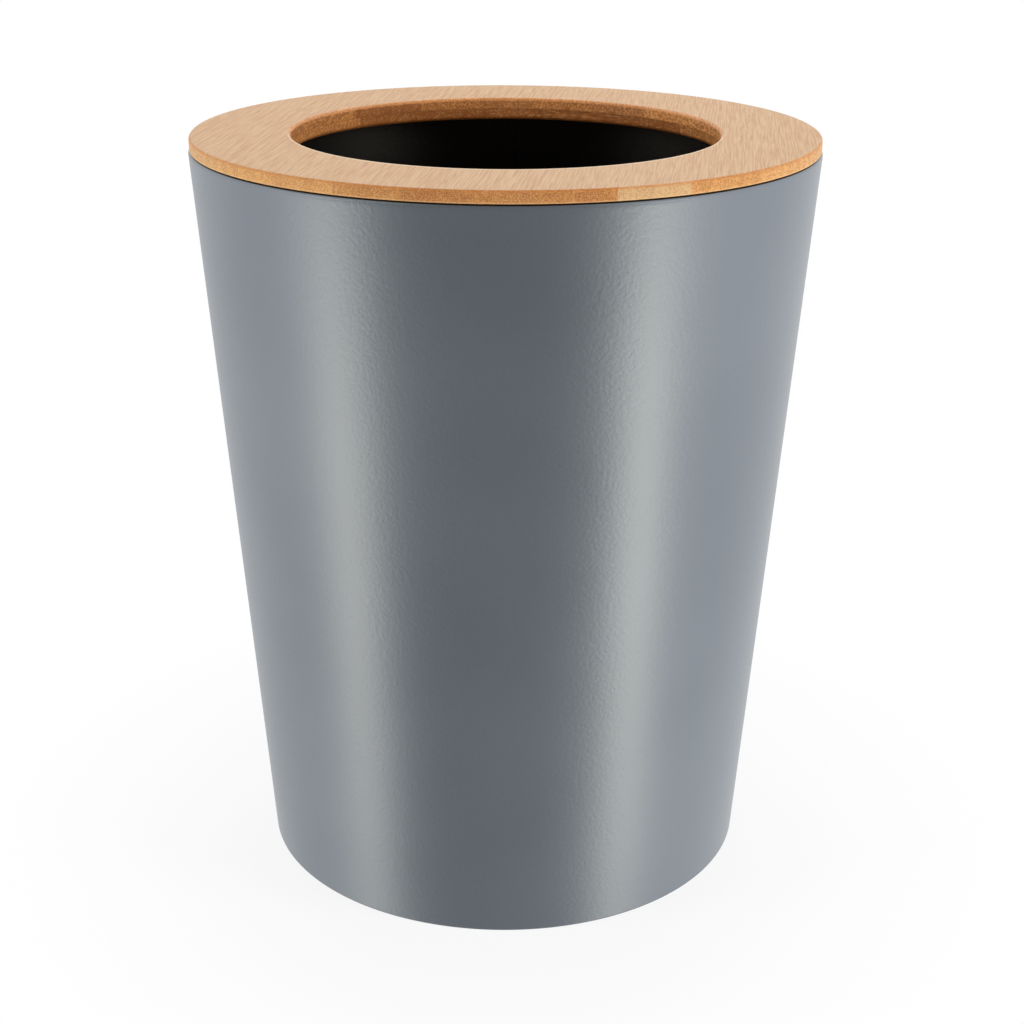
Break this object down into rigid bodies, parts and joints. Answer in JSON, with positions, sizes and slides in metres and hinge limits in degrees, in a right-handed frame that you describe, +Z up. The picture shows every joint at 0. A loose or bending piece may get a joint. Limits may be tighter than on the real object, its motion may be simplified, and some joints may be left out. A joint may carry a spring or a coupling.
{
  "type": "metal trash can",
  "caption": "Tapered sheet-steel waste bin with a rolled rim, a hemmed-in base plate and a loose ring lid of crossed bamboo boards that hides the bag's edge.",
  "frame": {"origin": "centre of the ring that the can stands on, on the floor", "axes": "+Z up along the can's axis; the side that the picture shows faces -Y, and +X is to its right; the wall's seam is at +Y"},
  "size_m": [0.2498, 0.2498, 0.3049],
  "materials": {
    "grey_powder_coat": "satin grey powder coat with a fine orange peel; black lacquer inside",
    "black_lacquer": "semi-gloss black lacquer",
    "bamboo_top": "sanded pale bamboo under a thin clear oil",
    "bamboo_under": "sanded bamboo under a thin clear oil, darker at the cut edges"
  },
  "bodies": {
    "can": {"can_shell": "grey_powder_coat", "base_plate": "black_lacquer"},
    "lid": {"top_stave_1": "bamboo_top", "top_stave_10": "bamboo_top", "top_stave_11": "bamboo_top", "top_stave_2": "bamboo_top", "top_stave_3": "bamboo_top", "top_stave_4_back": "bamboo_top", "top_stave_4_front": "bamboo_top", "top_stave_5_back": "bamboo_top", "top_stave_5_front": "bamboo_top", "top_stave_6_back": "bamboo_top", "top_stave_6_front": "bamboo_top", "top_stave_7_back": "bamboo_top", "top_stave_7_front": "bamboo_top", "top_stave_8_back": "bamboo_top", "top_stave_8_front": "bamboo_top", "top_stave_9_back": "bamboo_top", "top_stave_9_front": "bamboo_top", "under_stave_1": "bamboo_under", "under_stave_10": "bamboo_under", "under_stave_2": "bamboo_under", "under_stave_3_left": "bamboo_under", "under_stave_3_right": "bamboo_under", "under_stave_4_left": "bamboo_under", "under_stave_4_right": "bamboo_under", "under_stave_5_left": "bamboo_under", "under_stave_5_right": "bamboo_under", "under_stave_6_left": "bamboo_under", "under_stave_6_right": "bamboo_under", "under_stave_7_left": "bamboo_under", "under_stave_7_right": "bamboo_under", "under_stave_8_left": "bamboo_under", "under_stave_8_right": "bamboo_under", "under_stave_9": "bamboo_under"}
  },
  "joints": [
    {"name": "lid_lift", "type": "slide", "parent": "can", "child": "lid", "axis": [0, 0, 1], "range_m": [0, 0.15]}
  ]
}
